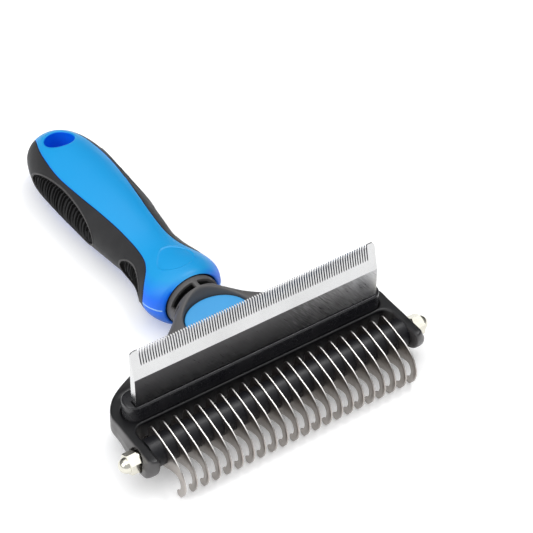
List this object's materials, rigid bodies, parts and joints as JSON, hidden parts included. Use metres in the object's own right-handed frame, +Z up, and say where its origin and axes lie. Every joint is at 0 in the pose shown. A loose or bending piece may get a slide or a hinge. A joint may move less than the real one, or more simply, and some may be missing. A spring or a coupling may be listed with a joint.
{
  "type": "dematting comb",
  "caption": "Two-sided pet grooming comb with a row of hooked rake blades, a toothed deshedding blade on a black head and a blue two-shell handle with black grips.",
  "frame": {"origin": "middle of the footprint, on the surface that the hook tips and the belly of the handle rest on", "axes": "+X along the rake rod, +Y from the rake to the butt of the handle, +Z up, the way the deshedding teeth point"},
  "size_m": [0.1262, 0.1803, 0.0462],
  "materials": {
    "rake_steel": "satin, stamped edges polished",
    "blade_steel": "ground and brushed across the blade",
    "spring_steel": "drawn wire",
    "nut_nickel": "bright nickel plate",
    "black_gloss": "polished mould face",
    "latch_plastic": "as moulded",
    "handle_blue": "satin, fine moulded grain",
    "button_blue": "smooth matte",
    "grip_rubber": "matte, ribbed in the side ovals"
  },
  "bodies": {
    "comb": {"rake_rod": "rake_steel", "rake_blade_01": "rake_steel", "rake_blade_02": "rake_steel", "rake_blade_03": "rake_steel", "rake_blade_04": "rake_steel", "rake_blade_05": "rake_steel", "rake_blade_06": "rake_steel", "rake_blade_07": "rake_steel", "rake_blade_08": "rake_steel", "rake_blade_09": "rake_steel", "rake_blade_10": "rake_steel", "rake_blade_11": "rake_steel", "rake_blade_12": "rake_steel", "rake_blade_13": "rake_steel", "rake_blade_14": "rake_steel", "rake_blade_15": "rake_steel", "rake_blade_16": "rake_steel", "rake_blade_17": "rake_steel", "rake_blade_18": "rake_steel", "rake_blade_19": "rake_steel", "rake_blade_20": "rake_steel", "rake_blade_21": "rake_steel", "rake_blade_22": "rake_steel", "spacer_01": "black_gloss", "spacer_02": "black_gloss", "spacer_03": "black_gloss", "spacer_04": "black_gloss", "spacer_05": "black_gloss", "spacer_06": "black_gloss", "spacer_07": "black_gloss", "spacer_08": "black_gloss", "spacer_09": "black_gloss", "spacer_10": "black_gloss", "spacer_11": "black_gloss", "spacer_12": "black_gloss", "spacer_13": "black_gloss", "spacer_14": "black_gloss", "spacer_15": "black_gloss", "spacer_16": "black_gloss", "spacer_17": "black_gloss", "spacer_18": "black_gloss", "spacer_19": "black_gloss", "spacer_20": "black_gloss", "spacer_21": "black_gloss", "left_end_spacer": "black_gloss", "right_end_spacer": "black_gloss", "left_acorn_nut": "nut_nickel", "right_acorn_nut": "nut_nickel", "deshedding_blade": "blade_steel", "blade_holder": "black_gloss", "head_frame": "black_gloss", "head_back_cover": "black_gloss", "button_spring": "spring_steel", "handle_upper_shell": "handle_blue", "handle_lower_shell": "handle_blue", "left_grip": "grip_rubber", "right_grip": "grip_rubber"},
    "button": {"release_button": "button_blue", "latch_arm": "latch_plastic"}
  },
  "joints": [
    {"name": "button_press", "type": "slide", "parent": "comb", "child": "button", "axis": [0, 0, -1], "range_m": [0, 0.0016], "stiffness_N_per_m": 800, "springref_m": -0.001, "deforming": ["button_spring"]}
  ]
}
